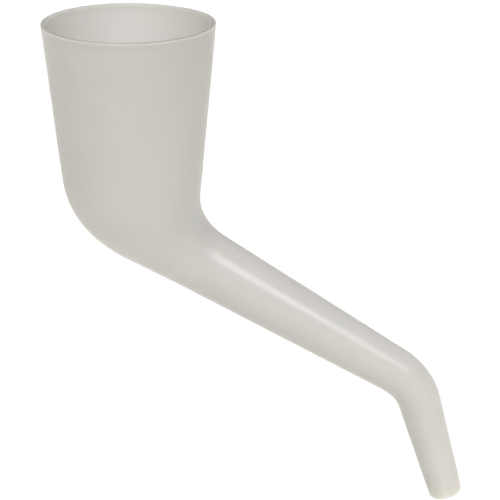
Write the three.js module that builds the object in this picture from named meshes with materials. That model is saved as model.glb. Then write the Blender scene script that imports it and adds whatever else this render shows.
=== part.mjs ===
// Offset funnel: a deep open cup, a wide elbow, a long tapering arm and a bent outlet, blown as one
// hollow moulding of natural polyethylene. Millimetres, +Z up, +X towards the outlet. The origin is
// the centre of the mouth, in the plane of the trimmed rim, and y = 0 is the plane of symmetry.

import * as THREE from 'three';
import { LoftGeometry } from 'three/addons/geometries/LoftGeometry.js';

const degrees = THREE.MathUtils.degToRad;

// The moulding is three cones, end to end. Their axes meet at the elbow and at the bend, and the
// lengths and outside diameters are given at those meeting points.
const CUP = { length: 109, tilt: degrees(90), from: 90, to: 69.6 };
const ARM = { length: 183, tilt: degrees(31.6), from: 39, to: 25 };
const OUTLET = { length: 75, tilt: degrees(73), from: 25, to: 19 };

// Each corner of the side view is rounded by a curve that leaves the one cone's edge at the first
// distance before the corner and joins the next cone's edge at the second distance after it.
const ELBOW_UNDERSIDE = [29, 36];
const ELBOW_INSIDE = [16, 19];
const BEND_UNDERSIDE = [12, 8];
const BEND_OUTSIDE = [18, 19];

// The spine, which the cross-sections stand square to, follows the axes and turns with these radii.
const SPINE_ELBOW_RADIUS = 53;
const SPINE_BEND_RADIUS = 32;

// The wall is blown thinnest where the moulding is widest.
const MOUTH_WALL = 2;
const OUTLET_WALL = 2.4;

// How finely the solid is faceted.
const SIDES = 36;
const STRAIGHT_STEP = 8;
const TURNING_STEP = 5;
const CURVE_POINTS = 16;

// A cone's axis in the x-z plane. The tilt is below the horizontal, and across points to the right
// of the cup, and so to the upper side of the arm.
function placeCone({ length, tilt, from, to }, start) {
  const heading = new THREE.Vector2(Math.cos(tilt), -Math.sin(tilt));
  const across = new THREE.Vector2(-heading.y, heading.x);
  const end = start.clone().addScaledVector(heading, length);
  return { start, end, heading, across, startRadius: from / 2, endRadius: to / 2 };
}

// One edge of a cone in the side view: side is 1 for the edge across from the axis, or -1.
function edgeOf(cone, side) {
  const start = cone.start.clone().addScaledVector(cone.across, side * cone.startRadius);
  const end = cone.end.clone().addScaledVector(cone.across, side * cone.endRadius);
  return { start, end, heading: end.clone().sub(start).normalize() };
}

// Where two edges meet when they are drawn on.
function meetingPoint(first, second) {
  const gap = second.start.clone().sub(first.start);
  const along = gap.cross(second.heading) / first.heading.cross(second.heading);
  return first.start.clone().addScaledVector(first.heading, along);
}

// One side of the moulding from mouth to outlet, as points along lines and rounded corners.
function makeOutline(cones, side, roundings) {
  const edges = cones.map((cone) => edgeOf(cone, side));
  const outline = new THREE.CurvePath();
  let reached = edges[0].start;
  roundings.forEach(([before, after], i) => {
    const corner = meetingPoint(edges[i], edges[i + 1]);
    const start = corner.clone().addScaledVector(edges[i].heading, -before);
    const end = corner.clone().addScaledVector(edges[i + 1].heading, after);
    outline.add(new THREE.LineCurve(reached, start));
    outline.add(new THREE.QuadraticBezierCurve(start, corner, end));
    reached = end;
  });
  outline.add(new THREE.LineCurve(reached, edges.at(-1).end));
  return outline.getPoints(CURVE_POINTS);
}

// The axes of the three cones, with a tangent arc round each corner between them.
function makeSpine(cones, radii) {
  const spine = new THREE.CurvePath();
  let reached = cones[0].start;
  radii.forEach((radius, i) => {
    const { heading, across, end: corner } = cones[i];
    const next = cones[i + 1].heading;
    const turn = Math.atan2(heading.cross(next), heading.dot(next)); // anticlockwise
    const setback = radius * Math.tan(Math.abs(turn) / 2);
    const start = corner.clone().addScaledVector(heading, -setback);
    const centre = start.clone().addScaledVector(across, Math.sign(turn) * radius);
    const angle = start.clone().sub(centre).angle();
    const arc = [centre.x, centre.y, radius, radius, angle, angle + turn, turn < 0];
    spine.add(new THREE.LineCurve(reached, start));
    spine.add(new THREE.EllipseCurve(...arc));
    reached = corner.clone().addScaledVector(next, setback);
  });
  spine.add(new THREE.LineCurve(reached, cones.at(-1).end));
  return spine;
}

// The places along the spine, as fractions of it, where the moulding has a cross-section.
function makeStations(spine) {
  const whole = spine.getLength();
  const stations = [0];
  let passed = 0;
  for (const leg of spine.curves) {
    const length = leg.getLength();
    const steps = Math.ceil(length / (leg.isLineCurve ? STRAIGHT_STEP : TURNING_STEP));
    for (let i = 1; i <= steps; i++) stations.push((passed + (length * i) / steps) / whole);
    passed += length;
  }
  return stations.map((station) => Math.min(station, 1));
}

// How far across from the spine an outline passes through the section there.
function reachOf(outline, centre, heading, across) {
  const tolerance = 1e-6;
  let nearest = Infinity;
  for (let i = 1; i < outline.length; i++) {
    const before = outline[i - 1].clone().sub(centre);
    const after = outline[i].clone().sub(centre);
    const behind = before.dot(heading);
    const ahead = after.dot(heading);
    if (behind > tolerance || ahead < -tolerance || ahead - behind < tolerance) continue;
    const reach = before.lerp(after, behind / (behind - ahead)).dot(across);
    if (Math.abs(reach) < Math.abs(nearest)) nearest = reach;
  }
  return nearest;
}

// The round section at a station: its centre lies halfway between the two outlines.
function makeSection(spine, station, outlines) {
  const centre = spine.getPoint(station);
  const heading = spine.getTangent(station);
  const across = new THREE.Vector2(-heading.y, heading.x);
  const [near, far] = outlines.map((outline) => reachOf(outline, centre, heading, across));
  const wall = THREE.MathUtils.lerp(MOUTH_WALL, OUTLET_WALL, station);
  centre.addScaledVector(across, (near + far) / 2);
  return { centre, across, radius: Math.abs(near - far) / 2, wall };
}

// A ring of points round a section.
function makeRing({ centre, across }, radius) {
  return Array.from({ length: SIDES }, (_, i) => {
    const angle = (2 * Math.PI * i) / SIDES;
    const reach = radius * Math.sin(angle);
    const x = centre.x + reach * across.x;
    const z = centre.y + reach * across.y;
    return new THREE.Vector3(x, radius * Math.cos(angle), z);
  });
}

// The outside from mouth to outlet, the bore from outlet to mouth, and the rim that joins them.
function makeShell() {
  const cup = placeCone(CUP, new THREE.Vector2(0, 0));
  const arm = placeCone(ARM, cup.end);
  const outlet = placeCone(OUTLET, arm.end);
  const cones = [cup, arm, outlet];
  const spine = makeSpine(cones, [SPINE_ELBOW_RADIUS, SPINE_BEND_RADIUS]);
  const outlines = [
    makeOutline(cones, -1, [ELBOW_UNDERSIDE, BEND_UNDERSIDE]),
    makeOutline(cones, 1, [ELBOW_INSIDE, BEND_OUTSIDE]),
  ];
  const sections = makeStations(spine).map((station) => makeSection(spine, station, outlines));
  const outside = sections.map((section) => makeRing(section, section.radius));
  const bore = sections.map((section) => makeRing(section, section.radius - section.wall));
  return new LoftGeometry([...outside, ...bore.reverse(), outside[0]]);
}

const naturalPolyethylene = new THREE.MeshStandardMaterial({
  color: 0xd2cfc6,
  roughness: 0.42,
  metalness: 0,
});

const funnelBody = new THREE.Mesh(makeShell(), naturalPolyethylene);
funnelBody.name = 'funnel_body';

const offsetFunnel = new THREE.Group();
offsetFunnel.name = 'offset_funnel';
offsetFunnel.add(funnelBody);

export default offsetFunnel;
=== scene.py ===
import math
from types import SimpleNamespace

import bpy
import numpy as np
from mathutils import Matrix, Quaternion, Vector, noise


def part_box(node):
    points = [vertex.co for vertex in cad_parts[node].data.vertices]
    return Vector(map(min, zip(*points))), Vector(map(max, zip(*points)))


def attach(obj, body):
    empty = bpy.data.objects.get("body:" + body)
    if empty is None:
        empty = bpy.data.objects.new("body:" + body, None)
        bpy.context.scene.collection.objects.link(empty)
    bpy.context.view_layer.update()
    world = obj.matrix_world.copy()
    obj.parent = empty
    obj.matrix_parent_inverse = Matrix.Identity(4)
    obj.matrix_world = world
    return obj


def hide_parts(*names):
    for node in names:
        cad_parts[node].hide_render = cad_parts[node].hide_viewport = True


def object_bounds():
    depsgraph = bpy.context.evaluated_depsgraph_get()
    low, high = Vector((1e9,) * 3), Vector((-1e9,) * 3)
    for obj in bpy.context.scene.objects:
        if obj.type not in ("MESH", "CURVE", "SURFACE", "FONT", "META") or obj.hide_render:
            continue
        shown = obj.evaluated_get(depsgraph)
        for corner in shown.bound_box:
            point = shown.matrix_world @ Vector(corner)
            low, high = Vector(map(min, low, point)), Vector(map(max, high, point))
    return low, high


# The looks of the offset funnel: one hollow moulding of natural polyethylene, hung over a white
# studio floor. Metres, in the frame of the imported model: +Z up out of the mouth, +X towards the
# outlet, and y = 0 the plane of symmetry.
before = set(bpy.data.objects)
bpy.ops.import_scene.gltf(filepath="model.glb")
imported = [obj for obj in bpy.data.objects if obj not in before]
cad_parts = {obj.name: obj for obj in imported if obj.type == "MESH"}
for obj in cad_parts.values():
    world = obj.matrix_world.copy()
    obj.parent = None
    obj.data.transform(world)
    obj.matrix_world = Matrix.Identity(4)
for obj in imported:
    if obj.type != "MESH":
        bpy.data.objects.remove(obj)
cad_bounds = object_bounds()

NODE = "funnel_body"
mouth_diameter = 2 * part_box(NODE)[1].y

# The moulding is three cones, end to end. Their axes meet at the elbow and at the bend, and the
# lengths and outside diameters are given at those meeting points. The tilt is in degrees below the
# horizontal.
CUP = SimpleNamespace(length=0.109, tilt=90, start_diameter=mouth_diameter, end_diameter=0.0696)
ARM = SimpleNamespace(length=0.183, tilt=31.6, start_diameter=0.039, end_diameter=0.025)
OUTLET = SimpleNamespace(length=0.075, tilt=73, start_diameter=0.025, end_diameter=0.019)

# How far before and after its corner each rounding of the side view begins and ends.
ELBOW_UNDERSIDE = (0.029, 0.036)
ELBOW_INSIDE = (0.016, 0.019)
BEND_UNDERSIDE = (0.012, 0.008)
BEND_OUTSIDE = (0.018, 0.019)

# The radii that the spine turns with, and the wall at the two ends.
SPINE_RADII = (0.053, 0.032)
MOUTH_WALL = 0.002
OUTLET_WALL = 0.0024

# The knife leaves the rim nearly sharp, and the outlet's edges are eased by the mould.
RIM_EDGE = 0.0002
OUTLET_EDGE = 0.0008

# The hand-trimmed rim is low in one place. The angle is in radians, from +Y towards +X.
RIM_DIP = 0.00045
RIM_DIP_ANGLE = 0.5
RIM_DIP_NARROWNESS = 24
RIM_DIP_REACH = 0.02

# Small unevenness of a blown moulding: how deep it is at most, and over what distance it changes.
DENT = 0.00018
DENT_SIZE = 0.045
DENT_SEED = 3
WALL_CHANGE = 0.00022
WALL_CHANGE_SIZE = 0.03
WALL_CHANGE_SEED = 7

# The parting line, where the mould's halves met: a low ridge in the plane of symmetry, which is
# trimmed off near both ends.
SEAM_HEIGHT = 0.00012
SEAM_HALF_WIDTH = 0.00035
SEAM_FADE = (0.003, 0.009)

# How finely the surface is divided. The seam columns are distances from each parting line.
STRAIGHT_STEP = 0.002
TURNING_STEP = 0.0016
CURVE_POINTS = 90
EDGE_STEPS = 4
SIDES_PER_HALF = 84
SEAM_COLUMNS = (-0.0007, -0.00035, -0.00017, 0, 0.00017, 0.00035, 0.0007)

# How much painted shade darkens the plastic's colour, from 0 to 1: painted shade at the wall's ends,
# on the rim's cut face and on the cup's sides. It is 1 at both ends of the wall and fades over these
# reaches, but the rim's cut face has its own value. The sides are the strips of the cup beside its
# parting lines, and they fade between two distances along the spine.
RIM_PAINTED_SHADE_REACH = 0.006
OUTLET_PAINTED_SHADE_REACH = 0.026
CUT_FACE_PAINTED_SHADE = 0.6
SIDE_PAINTED_SHADE = 0.55
SIDE_PAINTED_SHADE_NARROWNESS = 6
SIDE_PAINTED_SHADE_REACH = (0.07, 0.15)

# What the material reads from the mesh: the cosine and sine of the angle round a section with the
# way along the spine, how much painted shade darkens the colour, and 0 on the outside to 1 in the bore.
MESH_ATTRIBUTES = [
    ("FLOAT_VECTOR", "vector", "moulding"),
    ("FLOAT", "value", "painted_shade_mask"),
    ("FLOAT", "value", "bore"),
]

# The plastic's colour drifts between two tints. It is multiplied by a painted cool light in the bore,
# by painted shade at the mouth that turns to painted light along the arm over the reach, and by
# painted shade where the mask of painted shade is high.
WHITE = (1, 1, 1, 1)
ROSY_TINT = (0.507, 0.474, 0.441, 1)
GREENISH_TINT = (0.501, 0.483, 0.434, 1)
# A cooler colour for the bore: painted cool light on the inside of the cup.
BORE_PAINTED_COOL_LIGHT = (0.978, 0.986, 1.045, 1)
# Painted shade near the mouth that turns to painted light along the arm: the colour is scaled from the
# first factor to the second over this reach along the spine.
PAINTED_GRADIENT_REACH = 0.17
PAINTED_SHADE_AND_LIGHT_MOUTH_TO_ARM = (0.852, 1.036)
DARKENING_BY_PAINTED_SHADE = 0.85

# The patterns of the plastic, as noise repeats per metre. The streaks follow the moulding instead,
# with dozens of repeats round it and about two along the whole of it. Most of the noise lies in
# NOISE_RANGE, which is what gets spread over the range that is wanted.
CLOUD_SCALE = 28
RIPPLE_SCALE = 110
PEEL_SCALE = 700
STREAK_STRETCH = (9, 9, 7)
NOISE_RANGE = (0.3, 0.7)

# The skin and what is under it.
ROUGHNESS = (0.31, 0.36)
STREAK_HEIGHT = 0.00009
RIPPLE_HEIGHT = 0.00012
PEEL_HEIGHT = 0.000012
REFRACTIVE_INDEX = 1.54
SCATTER_DISTANCE = 0.017
SCATTER_BY_COLOUR = (1, 0.97, 0.9)

# The floor lies well below the outlet, so that the funnel throws no clear shadow on it.
FLOOR_DROP = 0.45
FLOOR_HALF = 20
FLOOR_COLOUR = (0.95, 0.94, 0.9, 1)

# The surround is white and lights the funnel dimly, but the camera sees it as white as the floor.
SURROUND_STRENGTH = 0.05
BACKDROP_STRENGTH = 1

# Soft lamps: where each stands (degrees to the right of the front, and up), how wide it looks from
# the object in degrees, and its strength.
LAMPS = {
    "top_softbox": SimpleNamespace(right=0, up=85, width=60, strength=0.9),
    "front_softbox": SimpleNamespace(right=0, up=35, width=60, strength=1.3),
    "front_lamp": SimpleNamespace(right=0, up=40, width=20, strength=1.2),
    "upper_lamp": SimpleNamespace(right=0, up=60, width=20, strength=0.7),
    "streak_lamp": SimpleNamespace(right=47, up=31.5, width=14, strength=0.72),
    "left_fill": SimpleNamespace(right=-45, up=30, width=20, strength=0.12),
    "rear_softbox": SimpleNamespace(right=140, up=20, width=60, strength=0.42),
}

# The camera looks along +Y and down, at a point a little above and left of the box's middle. Angles
# are in degrees, and the lens and sensor in millimetres.
CAMERA_ELEVATION = 22.25
CAMERA_DISTANCE = 0.8107
CAMERA_ROLL = 0.37
CAMERA_LENS = 107.15
CAMERA_SENSOR = 36
AIM_FROM_MIDDLE = Vector((-0.0079, 0, 0.01394))


def left_of(heading):
    """The direction a quarter turn to the left of a heading in the x-z plane."""
    return np.array([-heading[1], heading[0]])


def cross(first, second):
    return first[0] * second[1] - first[1] * second[0]


def smoothstep(value, start, end):
    t = np.clip((value - start) / (end - start), 0, 1)
    return t * t * (3 - 2 * t)


def place_cone(cone, start):
    """A cone's axis in the x-z plane, from start to end, and its two radii."""
    tilt = math.radians(cone.tilt)
    heading = np.array([math.cos(tilt), -math.sin(tilt)])
    return SimpleNamespace(
        start=start,
        end=start + heading * cone.length,
        heading=heading,
        start_radius=cone.start_diameter / 2,
        end_radius=cone.end_diameter / 2,
    )


def edge_of(cone, side):
    """One edge of a cone in the side view: side is 1 for the edge left of the axis, or -1."""
    across = left_of(cone.heading) * side
    start = cone.start + across * cone.start_radius
    end = cone.end + across * cone.end_radius
    return SimpleNamespace(start=start, end=end, heading=(end - start) / np.linalg.norm(end - start))


def meeting_point(first, second):
    """Where two edges meet when they are drawn on."""
    along = cross(second.start - first.start, second.heading) / cross(first.heading, second.heading)
    return first.start + first.heading * along


def make_outline(cones, side, roundings):
    """One side of the moulding from mouth to outlet: lines joined by quadratic curves."""
    edges = [edge_of(cone, side) for cone in cones]
    points = [edges[0].start]
    t = np.linspace(0, 1, CURVE_POINTS)[:, None]
    for before, after, (setback, lead) in zip(edges, edges[1:], roundings):
        corner = meeting_point(before, after)
        start = corner - before.heading * setback
        end = corner + after.heading * lead
        points.extend((1 - t) ** 2 * start + 2 * t * (1 - t) * corner + t**2 * end)
    points.append(edges[-1].end)
    return np.array(points)


def straight_stations(start, end, heading):
    steps = math.ceil(np.linalg.norm(end - start) / STRAIGHT_STEP)
    return [(start + (end - start) * i / steps, heading) for i in range(steps)]


def turning_stations(start, heading, turn, radius):
    steps = math.ceil(radius * abs(turn) / TURNING_STEP)
    inwards = left_of(heading) * math.copysign(1, turn)
    stations = []
    for i in range(steps):
        angle = abs(turn) * i / steps
        point = start + radius * (math.sin(angle) * heading + (1 - math.cos(angle)) * inwards)
        stations.append((point, math.cos(angle) * heading + math.sin(angle) * inwards))
    return stations


def make_stations(cones):
    """Points of the spine with its heading at each: the cones' axes with tangent arcs between."""
    stations = []
    reached = cones[0].start
    for cone, following, radius in zip(cones, cones[1:], SPINE_RADII):
        turn = math.atan2(cross(cone.heading, following.heading), cone.heading @ following.heading)
        setback = radius * math.tan(abs(turn) / 2)
        start = cone.end - cone.heading * setback
        stations += straight_stations(reached, start, cone.heading)
        stations += turning_stations(start, cone.heading, turn, radius)
        reached = cone.end + following.heading * setback
    stations += straight_stations(reached, cones[-1].end, cones[-1].heading)
    return stations + [(cones[-1].end, cones[-1].heading)]


def distances_along(stations):
    """How far along the spine each station lies."""
    points = np.array([point for point, _ in stations])
    steps = np.linalg.norm(np.diff(points, axis=0), axis=1)
    return np.concatenate([[0], np.cumsum(steps)])


def reach_of(outline, point, heading):
    """How far left of a station an outline passes through the section there."""
    tolerance = 1e-9
    offset = outline - point
    ahead = offset @ heading
    leftwards = offset @ left_of(heading)
    crossed = (ahead[:-1] <= tolerance) & (ahead[1:] >= -tolerance) & (np.diff(ahead) > tolerance)
    i = np.flatnonzero(crossed)
    share = -ahead[i] / (ahead[i + 1] - ahead[i])
    reaches = leftwards[i] + share * (leftwards[i + 1] - leftwards[i])
    return reaches[np.argmin(np.abs(reaches))]


def make_section(point, heading, outlines, passed, whole):
    """The round section at a station: its centre lies halfway between the two outlines."""
    near, far = (reach_of(outline, point, heading) for outline in outlines)
    across = left_of(heading)
    return SimpleNamespace(
        centre=point + across * (near + far) / 2,
        across=across,
        radius=abs(near - far) / 2,
        wall=MOUTH_WALL + (OUTLET_WALL - MOUTH_WALL) * passed / whole,
        passed=passed,
        left=whole - passed,
    )


def edge_rings(section_at, edge):
    """Sections over the end of the wall, from outside to bore, each with its inset into the wall."""
    quarter = [math.pi / 2 * i / EDGE_STEPS for i in range(EDGE_STEPS + 1)]
    rings = [(section_at(edge * (1 - math.sin(a))), edge * (1 - math.cos(a))) for a in quarter]
    return rings + [(section, section.wall - inset) for section, inset in reversed(rings)]


def make_loop(cones, outlines):
    """Sections with their insets, all the way round the wall: the outside from mouth to outlet, the
    outlet's edge, the bore back to the mouth, and the rim."""
    mouth, outlet = cones[0], cones[-1]
    stations = make_stations(cones)
    passed = distances_along(stations)
    whole = passed[-1]

    def at_mouth(depth):
        point = mouth.start + mouth.heading * depth
        return make_section(point, mouth.heading, outlines, depth, whole)

    def at_outlet(depth):
        point = outlet.end - outlet.heading * depth
        return make_section(point, outlet.heading, outlines, whole - depth, whole)

    sections = [
        make_section(point, heading, outlines, at, whole)
        for (point, heading), at in zip(stations, passed)
        if RIM_EDGE < at < whole - OUTLET_EDGE
    ]
    outside = [(section, 0) for section in sections]
    bore = [(section, section.wall) for section in reversed(sections)]
    rim = list(reversed(edge_rings(at_mouth, RIM_EDGE)))
    return outside + edge_rings(at_outlet, OUTLET_EDGE) + bore + rim


def column_angles(radius):
    """Angles round a section, even but for the close columns over the two parting lines."""
    close = np.array(SEAM_COLUMNS) / radius
    gap = np.linspace(close[-1], math.pi + close[0], SIDES_PER_HALF)[1:-1]
    half = np.concatenate([close, gap])
    return np.concatenate([half, half + math.pi]) + math.pi / 2


def seam_ridge(section, angles):
    """The height of the parting line's ridge at each column."""
    from_top = np.abs(np.remainder(angles, math.pi) - math.pi / 2) * section.radius
    shape = np.clip(1 - (from_top / SEAM_HALF_WIDTH) ** 2, 0, 1)
    fade = smoothstep(min(section.passed, section.left), *SEAM_FADE)
    return SEAM_HEIGHT * fade * shape


def rim_dip(section, angles):
    """How far each column is lowered near the rim."""
    fade = 1 - smoothstep(section.passed, 0, RIM_DIP_REACH)
    return RIM_DIP * fade * np.cos((angles - RIM_DIP_ANGLE) / 2) ** RIM_DIP_NARROWNESS


def painted_shade_mask(section, depth, angles):
    """How much painted shade darkens each column. The rim's cut face has a value of its own."""
    if section.passed < RIM_EDGE and 0 < depth < 1:
        return np.full(len(angles), CUT_FACE_PAINTED_SHADE)
    at_rim = 1 - smoothstep(section.passed, 0, RIM_PAINTED_SHADE_REACH)
    at_outlet = 1 - smoothstep(section.left, 0, OUTLET_PAINTED_SHADE_REACH)
    beside_seam = np.abs(np.sin(angles)) ** SIDE_PAINTED_SHADE_NARROWNESS
    at_sides = SIDE_PAINTED_SHADE * (1 - smoothstep(section.passed, *SIDE_PAINTED_SHADE_REACH)) * beside_seam
    return np.maximum(max(at_rim, at_outlet), at_sides)


def unevenness(points, size, seed):
    """A smooth value from 0 to 1 at each point, which changes over a distance of size."""
    shift = Vector((seed, 2 * seed, 3 * seed))
    return np.array([0.5 + 0.5 * noise.noise(Vector(point) / size + shift) for point in points])


def ring_points(section, angles, radii):
    leftwards = np.sin(angles) * radii
    x = section.centre[0] + section.across[0] * leftwards
    z = section.centre[1] + section.across[1] * leftwards - rim_dip(section, angles)
    return np.stack([x, np.cos(angles) * radii, z], axis=1)


def make_ring(section, inset):
    """One ring of points, inset into the wall from the outside, and its values of MESH_ATTRIBUTES."""
    angles = column_angles(section.radius)
    skin = ring_points(section, angles, np.full(len(angles), section.radius))
    depth = inset / section.wall
    radii = section.radius - inset - DENT * unevenness(skin, DENT_SIZE, DENT_SEED)
    radii = radii + (1 - depth) * seam_ridge(section, angles)
    radii = radii - depth * WALL_CHANGE * unevenness(skin, WALL_CHANGE_SIZE, WALL_CHANGE_SEED)
    passed = np.full(len(angles), section.passed)
    painted = {
        "moulding": np.stack([np.cos(angles), np.sin(angles), passed], axis=1),
        # The mask of painted shade at the wall's ends, on the rim's cut face and on the cup's sides.
        "painted_shade_mask": painted_shade_mask(section, depth, angles),
        "bore": np.full(len(angles), depth),
    }
    return ring_points(section, angles, radii), painted


def loft(name, rings):
    """A closed mesh through rings of points that come round to the first one again."""
    columns = len(rings[0][0])
    points = np.concatenate([ring for ring, _ in rings])
    faces = []
    for i in range(len(rings)):
        here = i * columns
        there = (i + 1) % len(rings) * columns
        for j in range(columns):
            k = (j + 1) % columns
            faces.append((here + j, here + k, there + k, there + j))
    mesh = bpy.data.meshes.new(name)
    mesh.from_pydata(points.tolist(), [], faces)
    mesh.validate()
    mesh.shade_smooth()
    for kind, field, attribute in MESH_ATTRIBUTES:
        values = np.concatenate([painted[attribute] for _, painted in rings])
        mesh.attributes.new(attribute, kind, "POINT").data.foreach_set(field, values.ravel())
    return mesh


def add_object(name, data):
    """A new object in the scene."""
    added = bpy.data.objects.new(name, data)
    bpy.context.scene.collection.objects.link(added)
    return added


def make_funnel():
    """The whole moulding, as one closed mesh."""
    cup = place_cone(CUP, np.zeros(2))
    arm = place_cone(ARM, cup.end)
    outlet = place_cone(OUTLET, arm.end)
    cones = [cup, arm, outlet]
    outlines = [
        make_outline(cones, -1, [ELBOW_UNDERSIDE, BEND_UNDERSIDE]),
        make_outline(cones, 1, [ELBOW_INSIDE, BEND_OUTSIDE]),
    ]
    rings = [make_ring(section, inset) for section, inset in make_loop(cones, outlines)]
    return add_object("funnel", loft("funnel", rings))


def set_input(tree, socket, value):
    """Set a node's input to a value, or link it where an output is given."""
    if isinstance(value, bpy.types.NodeSocket):
        tree.links.new(value, socket)
    else:
        socket.default_value = value


def add_node(tree, kind, **inputs):
    """A new node with these inputs set. An underscore stands for a space in an input's name."""
    node = tree.nodes.new(kind)
    for name, value in inputs.items():
        set_input(tree, node.inputs[name.replace("_", " ")], value)
    return node


def add_attribute(tree, name):
    """A node that reads one of the MESH_ATTRIBUTES."""
    node = add_node(tree, "ShaderNodeAttribute")
    node.attribute_name = name
    return node


def add_noise(tree, place, scale, detail, roughness=0.5):
    inputs = {"Vector": place, "Scale": scale, "Detail": detail, "Roughness": roughness}
    return add_node(tree, "ShaderNodeTexNoise", **inputs).outputs["Fac"]


def add_range(tree, value, start, end):
    """A value clamped to one range, low and high, and spread over another."""
    inputs = {"From_Min": start[0], "From_Max": start[1], "To_Min": end[0], "To_Max": end[1]}
    return add_node(tree, "ShaderNodeMapRange", Value=value, **inputs).outputs["Result"]


def add_mix(tree, factor, first, second):
    """The first colour at factor 0, blending into the second at 1."""
    mix = add_node(tree, "ShaderNodeMix")
    mix.data_type = "RGBA"
    set_input(tree, mix.inputs["Factor"], factor)
    set_input(tree, mix.inputs["A"], first)
    set_input(tree, mix.inputs["B"], second)
    return mix.outputs["Result"]


def add_product(tree, kind, first, second):
    """The product of two inputs of a math node of this kind."""
    product = add_node(tree, kind)
    product.operation = "MULTIPLY"
    set_input(tree, product.inputs[0], first)
    set_input(tree, product.inputs[1], second)
    return product.outputs[0]


def add_bump(tree, height, distance, **inputs):
    bump = add_node(tree, "ShaderNodeBump", Strength=1, Distance=distance, Height=height, **inputs)
    return bump.outputs["Normal"]


def make_colour(tree, place, moulding):
    """The cloudy tint, with painted cool light in the bore, painted shade near the mouth turning to
    painted light along the arm, and painted shade from the mask.
    """
    cloud = add_noise(tree, place, CLOUD_SCALE, detail=3, roughness=0.55)
    tint = add_mix(tree, add_range(tree, cloud, NOISE_RANGE, (0, 1)), ROSY_TINT, GREENISH_TINT)
    # Painted cool light: the bore is made bluer than the outside.
    painted_cool_light = add_mix(tree, add_attribute(tree, "bore").outputs["Fac"], WHITE, BORE_PAINTED_COOL_LIGHT)
    painted_light_tint = add_product(tree, "ShaderNodeVectorMath", tint, painted_cool_light)

    passed = add_node(tree, "ShaderNodeSeparateXYZ", Vector=moulding).outputs["Z"]
    # Painted shade near the mouth, turning to painted light along the arm.
    painted_light_along = add_range(tree, passed, (0, PAINTED_GRADIENT_REACH), PAINTED_SHADE_AND_LIGHT_MOUTH_TO_ARM)
    # Painted shade: the colour is darker where the mask is high.
    painted_shade_fac = add_attribute(tree, "painted_shade_mask").outputs["Fac"]
    painted_darkening = add_range(tree, painted_shade_fac, (0, 1), (1, DARKENING_BY_PAINTED_SHADE))
    shade = add_node(tree, "ShaderNodeVectorMath", Vector=painted_light_tint)
    shade.operation = "SCALE"
    set_input(tree, shade.inputs["Scale"], add_product(tree, "ShaderNodeMath", painted_light_along, painted_darkening))
    return shade.outputs["Vector"]


def new_material(name):
    """A new material, with its node tree and its shader."""
    material = bpy.data.materials.new(name)
    material.use_nodes = True
    return material, material.node_tree, material.node_tree.nodes["Principled BSDF"]


def make_polyethylene():
    """Milky, faintly yellow plastic that scatters light, with a satin skin that is streaked along the
    moulding, rippled, and pitted like orange peel."""
    material, tree, shader = new_material("milky_polyethylene")
    place = add_node(tree, "ShaderNodeTexCoord").outputs["Object"]
    moulding = add_attribute(tree, "moulding").outputs["Vector"]
    stretched = add_product(tree, "ShaderNodeVectorMath", moulding, STREAK_STRETCH)
    streaks = add_noise(tree, stretched, scale=1, detail=4)
    ripple = add_noise(tree, place, RIPPLE_SCALE, detail=2)
    peel = add_noise(tree, place, PEEL_SCALE, detail=2)

    lines = add_bump(tree, streaks, STREAK_HEIGHT)
    wavy = add_bump(tree, ripple, RIPPLE_HEIGHT, Normal=lines)
    fine = add_bump(tree, peel, PEEL_HEIGHT, Normal=wavy)

    set_input(tree, shader.inputs["Base Color"], make_colour(tree, place, moulding))
    set_input(tree, shader.inputs["Roughness"], add_range(tree, streaks, NOISE_RANGE, ROUGHNESS))
    set_input(tree, shader.inputs["Normal"], fine)
    shader.inputs["IOR"].default_value = REFRACTIVE_INDEX
    shader.inputs["Subsurface Weight"].default_value = 1
    shader.inputs["Subsurface Radius"].default_value = SCATTER_BY_COLOUR
    shader.inputs["Subsurface Scale"].default_value = SCATTER_DISTANCE
    return material


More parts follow.
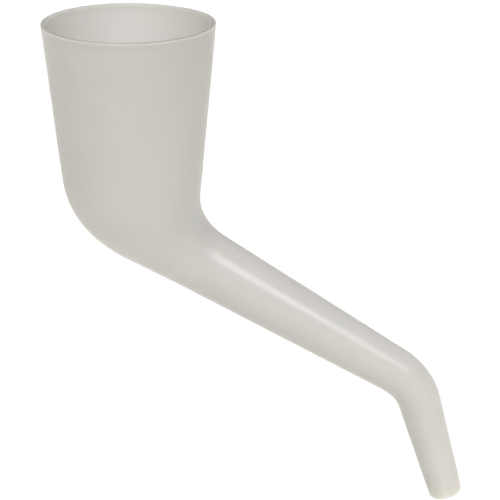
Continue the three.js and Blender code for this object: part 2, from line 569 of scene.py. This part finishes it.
def make_floor():
    """A wide, white, matt floor."""
    low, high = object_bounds()
    level = low.z - FLOOR_DROP
    corners = [(x * FLOOR_HALF, y * FLOOR_HALF, level) for x, y in ((-1, -1), (1, -1), (1, 1), (-1, 1))]
    mesh = bpy.data.meshes.new("floor")
    mesh.from_pydata(corners, [], [(0, 1, 2, 3)])
    material, _, shader = new_material("white_floor")
    shader.inputs["Base Color"].default_value = FLOOR_COLOUR
    shader.inputs["Roughness"].default_value = 1
    shader.inputs["Specular IOR Level"].default_value = 0
    mesh.materials.append(material)
    add_object("floor", mesh)


def make_surround():
    world = bpy.data.worlds.new("studio")
    world.use_nodes = True
    tree = world.node_tree
    background = tree.nodes["Background"]
    seen = add_node(tree, "ShaderNodeLightPath").outputs["Is Camera Ray"]
    strength = add_range(tree, seen, (0, 1), (SURROUND_STRENGTH, BACKDROP_STRENGTH))
    set_input(tree, background.inputs["Color"], WHITE)
    set_input(tree, background.inputs["Strength"], strength)
    bpy.context.scene.world = world


def make_lamps():
    """Soft lamps round the funnel, all above it and most in front."""
    for name, lamp in LAMPS.items():
        light = bpy.data.lights.new(name, "SUN")
        light.energy = lamp.strength
        light.angle = math.radians(lamp.width)
        right, up = math.radians(lamp.right), math.radians(lamp.up)
        towards = Vector((math.sin(right) * math.cos(up), -math.cos(right) * math.cos(up), math.sin(up)))
        stand = add_object(name, light)
        stand.rotation_mode = "QUATERNION"
        stand.rotation_quaternion = towards.to_track_quat("Z", "Y")


def make_camera():
    low, high = cad_bounds
    aim = (low + high) / 2 + AIM_FROM_MIDDLE
    elevation = math.radians(CAMERA_ELEVATION)
    back = Vector((0, -math.cos(elevation), math.sin(elevation)))
    data = bpy.data.cameras.new("camera")
    data.sensor_width = CAMERA_SENSOR
    data.lens = CAMERA_LENS
    camera = add_object("camera", data)
    camera.location = aim + back * CAMERA_DISTANCE
    camera.rotation_mode = "QUATERNION"
    turn = Quaternion(back, math.radians(CAMERA_ROLL))
    camera.rotation_quaternion = turn @ (-back).to_track_quat("-Z", "Y")
    bpy.context.scene.camera = camera


make_camera()
make_surround()
make_lamps()
make_floor()
funnel = make_funnel()
funnel.data.materials.append(make_polyethylene())
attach(funnel, "root")
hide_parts(NODE)

bpy.context.scene.view_settings.view_transform = "Standard"
